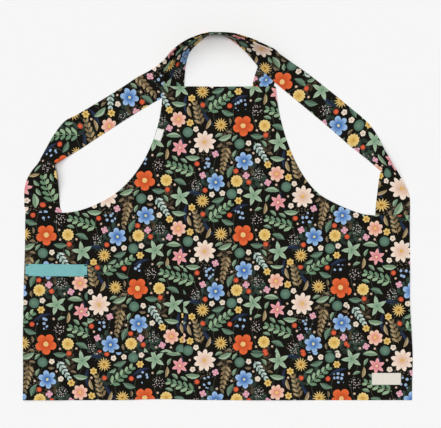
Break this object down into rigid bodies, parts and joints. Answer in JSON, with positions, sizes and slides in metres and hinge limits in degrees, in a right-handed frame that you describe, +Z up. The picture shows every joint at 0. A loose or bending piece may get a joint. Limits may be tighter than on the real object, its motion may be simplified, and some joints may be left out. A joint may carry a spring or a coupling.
{
  "type": "cross-back smock",
  "caption": "Cross-back work smock of dark floral canvas laid flat, with patch pockets, wide crossing straps, a teal towel loop and bare sewn labels.",
  "frame": {"origin": "middle of the smock's outline, on the surface that it lies on", "axes": "+X across the smock to the wearer's left side as seen from the front, +Y from the hem to the neck, +Z up from the surface, through the printed side"},
  "size_m": [0.934, 0.8768, 0.0646],
  "materials": {
    "printed_canvas": null,
    "teal_tape": "matt woven cotton tape, teal",
    "label_cotton": "matt woven cotton, cream, bare"
  },
  "bodies": {
    "root": {"body_panel": "printed_canvas", "left_pocket": "printed_canvas", "right_pocket": "printed_canvas", "left_strap": "printed_canvas", "right_strap": "printed_canvas", "towel_loop": "teal_tape", "hem_label": "label_cotton", "edge_label": "label_cotton"}
  },
  "joints": []
}
